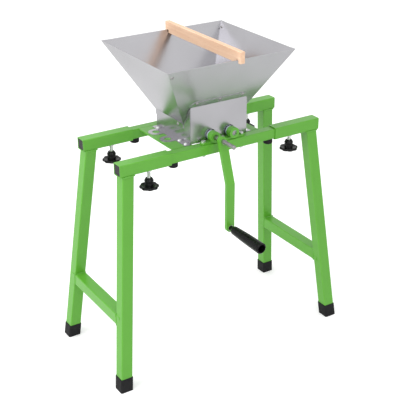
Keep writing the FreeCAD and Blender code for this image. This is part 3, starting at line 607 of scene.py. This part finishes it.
def make_weld_nuts(side, material):
    """The two nuts welded under one end frame's rails, with their corners turned off."""
    low, high = (Vector(c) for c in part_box(f"{side}_weld_nuts"))
    x = (low.x + high.x) / 2
    parts = []
    for y in (low.y + weld_nut_across / 2, high.y - weld_nut_across / 2):
        parts.append(hexagon("nut", x, y, low.z, high.z, weld_nut_across, True, False))
    piece = join(f"{side}_weld_nut_set", parts)
    fit_out(piece, f"{side}_frame", "zinc", material, f"{side}_weld_nuts")


def solids_of(node):
    """Each separate solid of a CAD node: its points, and its faces' normals times their areas."""
    shape = nodes[node]
    turn = shape.matrix_world
    corners = [tuple(round(c, corner_digits) for c in turn @ v.co) for v in shape.data.vertices]
    # Corners at one place are one key, so that faces that meet there end in the same solid
    parent = {key: key for key in corners}

    def root(key):
        while parent[key] != key:
            key = parent[key]
        return key

    for face in shape.data.polygons:
        first = root(corners[face.vertices[0]])
        for i in face.vertices:
            parent[root(corners[i])] = first
    solids = {}
    for key in parent:
        solids.setdefault(root(key), ([], []))[0].append(key)
    for face in shape.data.polygons:
        normal = turn.to_3x3() @ face.normal
        solids[root(corners[face.vertices[0]])][1].append(normal * face.area)
    return list(solids.values())


def lathe(name, seat, up, rows, dip=None):
    """Turned piece from rows of height and radius; dip lowers the points of a recess."""
    across = up.orthogonal().normalized()
    along = up.cross(across)
    rings = []
    for height, radius in rows:
        points = []
        for k in range(fastener_sides):
            a = 2 * math.pi * k / fastener_sides
            u = radius * math.cos(a)
            v = radius * math.sin(a)
            drop = dip(u, v, height) if dip else 0.0
            points.append(seat + across * u + along * v + up * (height - drop))
        rings.append(points)
    return skin(name, rings)


def make_rivets(material):
    """Blind rivets with the hole of the broken-off mandrel, on the seats of the CAD ones."""
    parts = []
    for points, normals in solids_of("hopper_rivets"):
        # A rivet's head and end face along its axis, which is where most of its area looks
        spread = sum(np.outer(n, n) / max(n.length, least_area) for n in normals)
        axis = np.linalg.eigh(spread)[1][:, 2]
        cloud = np.array(points)
        heights = cloud @ axis
        flat = cloud - np.outer(heights, axis)
        centre = (flat.min(axis=0) + flat.max(axis=0)) / 2
        away = np.linalg.norm(flat - centre, axis=1)
        # The head is the widest ring, and the longer end beyond it is the tail, which goes down
        rim = heights[away > rivet_rim].min(), heights[away > rivet_rim].max()
        if rim[0] - heights.min() < heights.max() - rim[1]:
            axis = -axis
            heights = -heights
            rim = -rim[1], -rim[0]
        seat = Vector(centre + axis * rim[0])
        tail = heights.min() - rim[0]
        rows = [(tail + h, r) for h, r in rivet_tail_rows]
        rows += [(rows[-1][0], rivet_shank), (0.0, rivet_shank)] + rivet_head_rows
        parts.append(lathe("rivet", seat, Vector(axis), rows))
    fit_out(join("rivet_set", parts), "mill_frame", "zinc", material, "hopper_rivets")


def cross_recess(u, v, height):
    """Depth of a screw's cross recess at a point of its head."""
    long_way = max(abs(u), abs(v))
    short_way = min(abs(u), abs(v))
    inside = long_way < recess_reach and short_way < recess_half_width and height > 0
    return recess_depth if inside else 0.0


def make_foot_screws(material):
    """Pan head screws with cross recesses through the housing's foot flanges."""
    parts = []
    for points, _ in solids_of("housing_screws"):
        cloud = np.array(points)
        low = cloud.min(axis=0)
        high = cloud.max(axis=0)
        seat = Vector(((low[0] + high[0]) / 2, (low[1] + high[1]) / 2, high[2] - screw_head))
        foot = low[2] - seat.z
        rows = [(foot, screw_point), (foot + screw_point_length, screw_shank), (0.0, screw_shank)]
        parts.append(lathe("screw", seat, Vector((0, 0, 1)), rows + screw_head_rows, cross_recess))
    fit_out(join("foot_screw_set", parts), "mill_frame", "zinc", material, "housing_screws")


def scallop(angle):
    """Depth share of the scallops round a knob's rim: 1 in a hollow, 0 on a lobe."""
    return (0.5 + 0.5 * math.cos(knob_lobes * angle)) ** scallop_power


def make_knob(side, place, material, steel):
    """Moulded scalloped knob with a dished head, and the thread of its stud."""
    knob = f"{side}_knob_{place}"
    stud = f"{side}_stud_{place}"
    body = f"{side}_{place}_clamp"
    axis = middle(stud)
    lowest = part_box(knob)[0][2]
    rings = []
    for height, radius, share in knob_profile:
        radii = []
        for k in range(knob_sides):
            a = 2 * math.pi * k / knob_sides
            radii.append(radius - knob_scallop * share * scallop(a))
        centre = Vector((axis.x, axis.y, lowest + height))
        rings.append(ring(centre, Vector((1, 0, 0)), Vector((0, 1, 0)), radii))
    moulding = skin(knob + "_moulding", rings, sharp=knob_edge)
    fit_out(moulding, body, "black_plastic", material, knob)
    foot, top = (Vector(c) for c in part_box(stud))
    start = Vector((axis.x, axis.y, foot.z))
    rise = Vector((0, 0, top.z - foot.z))
    rod = threaded_rod(stud + "_thread", start, rise, stud_radius, stud_pitch)
    fit_out(rod, body, "zinc", steel, stud)


def bead(name, path, radius, closed):
    """Weld bead along a path: a rounded string whose ripples vary a little."""
    spaced = []
    count = len(path)
    for i in range(count if closed else count - 1):
        a = path[i]
        b = path[(i + 1) % count]
        steps = max(1, int((b - a).length / bead_step))
        for k in range(steps):
            spaced.append(a.lerp(b, k / steps))
    if not closed:
        spaced.append(path[-1])
    rings = []
    total = len(spaced)
    travelled = 0.0
    for i, p in enumerate(spaced):
        after = spaced[(i + 1) % total] if closed or i < total - 1 else p
        before = spaced[i - 1] if closed or i > 0 else p
        ahead = (after - before).normalized()
        across = ahead.orthogonal().normalized()
        along = ahead.cross(across)
        wave = bead_ripple_depth * math.sin(2 * math.pi * travelled / bead_ripple_length)
        ripple = 1.0 + wave + random.uniform(-bead_variation, bead_variation)
        taper = 1.0
        if not closed:
            taper = min(1.0, bead_end + bead_end_growth * min(i, total - 1 - i))
        rings.append(ring(p, across, along, [radius * ripple * taper] * bead_sides))
        travelled += bead_step
    return skin(name, rings, closed, bead_edge)


def weld_frames(material):
    """Beads where the legs meet the rails and where the crossbars meet the legs."""
    for side in ("left", "right"):
        beads = []
        for place, row in (("front", -1), ("rear", 1)):
            beads.append(leg_top_bead(side, place))
            beads.append(crossbar_bead(side, place, row))
        piece = join(f"{side}_frame_welds", beads)
        fit_out(piece, f"{side}_frame", "green_coat", material)


def leg_line(side, place):
    """Centre of a leg's section at its top and at its bottom, from the box of its node."""
    low, high = (Vector(c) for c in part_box(f"{side}_leg_{place}"))
    half = leg_tube / 2
    left_side = side == "left"
    front_side = place == "front"
    top = Vector((high.x - half if left_side else low.x + half,
                  high.y - half if front_side else low.y + half, high.z))
    bottom = Vector((low.x + half if left_side else high.x - half,
                     low.y + half if front_side else high.y - half, low.z))
    return top, bottom


def leg_top_bead(side, place):
    """Bead round a leg's square top, under the rail it carries."""
    top = leg_line(side, place)[0]
    half = leg_tube / 2 + bead_radius * bead_stand_off
    z = top.z - bead_radius * leg_bead_drop
    corners = [(-1, -1), (1, -1), (1, 1), (-1, 1)]
    path = [Vector((top.x + a * half, top.y + b * half, z)) for a, b in corners]
    return bead("leg_bead", path, bead_radius, True)


def crossbar_bead(side, place, row):
    """Bead round the crossbar's end where it meets the leaning leg."""
    top, bottom = leg_line(side, place)
    low, high = (Vector(c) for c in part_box(f"{side}_crossbar"))
    path = []
    for x, z in ((low.x, low.z), (high.x, low.z), (high.x, high.z), (low.x, high.z)):
        share = (z - bottom.z) / (top.z - bottom.z)
        y = bottom.y + (top.y - bottom.y) * share - row * leg_tube / 2
        path.append(Vector((x, y - row * bead_radius * bead_stand_off, z)))
    return bead("crossbar_bead", path, bead_radius, True)


def weld_crank(material):
    """Bead round the crank's collar where it meets the back of the flat arm."""
    # Both shafts lie at the same height
    height = middle("idler_shaft").z
    low, high = (Vector(c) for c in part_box("crank_arm"))
    centre = Vector(((low.x + high.x) / 2, high.y - collar_length, height))
    path = []
    for k in range(collar_points):
        a = 2 * math.pi * k / collar_points
        across = collar_radius * math.cos(a)
        rise = collar_radius * math.sin(a)
        path.append(centre + Vector((across, collar_lean * math.sin(a), rise)))
    piece = bead("crank_collar_weld", path, small_bead_radius, True)
    fit_out(piece, "drive_roller", "green_coat", material)


def weld_saddles(material):
    """Beads along both sides of each bearing housing where it stands on its strap."""
    for place, row in (("front", -1), ("rear", 1)):
        low, high = (Vector(c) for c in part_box(f"bearing_saddle_{place}"))
        beads = []
        outer_y = low.y if row < 0 else high.y
        z = low.z + saddle_bead_height
        for shaft in ("drive_shaft", "idler_shaft"):
            axis = middle(shaft)
            for sign in (-1, 1):
                x = axis.x + sign * saddle_bead_reach
                path = [Vector((x, outer_y - row * end, z)) for end in saddle_bead_ends]
                beads.append(bead("saddle_bead", path, small_bead_radius, False))
        fit_out(join(f"{place}_saddle_welds", beads), "mill_frame", "green_coat", material)


def weld_plates(material):
    """Short beads under the cross plates where they are joined to the inner rails."""
    for side in ("left", "right"):
        low, high = (Vector(c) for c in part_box(f"{side}_cross_plate"))
        beads = []
        gap = small_bead_radius * bead_stand_off
        ends = (low.x + plate_bead_inset, high.x - plate_bead_inset)
        for y in (low.y + gap, high.y - gap):
            path = [Vector((x, y, low.z - gap)) for x in ends]
            beads.append(bead("plate_bead", path, small_bead_radius, False))
        fit_out(join(f"{side}_plate_welds", beads), "mill_frame", "green_coat", material)


random.seed(7)
materials = {
    "green_coat": powder_coat(),
    "stainless": sheet_steel(),
    "zinc": zinc_plate(),
    "black_plastic": black_plastic(),
    "black_rubber": black_rubber(),
    "pale_nylon": pale_nylon(),
    "beech": beech_wood(),
    "tool_steel": machined_steel(),
}
make_camera()
light_the_studio()
make_floor(floor_paint())
dress_cad_nodes(materials)
make_saddle_bolts(materials["zinc"])
make_rivets(rivet_steel())
make_foot_screws(materials["zinc"])
for side in ("left", "right"):
    make_weld_nuts(side, materials["zinc"])
    for place in ("front", "rear"):
        make_knob(side, place, materials["black_plastic"], materials["zinc"])
weld_frames(materials["green_coat"])
weld_crank(materials["green_coat"])
weld_saddles(materials["green_coat"])
weld_plates(materials["green_coat"])
bpy.context.scene.view_settings.view_transform = "Standard"
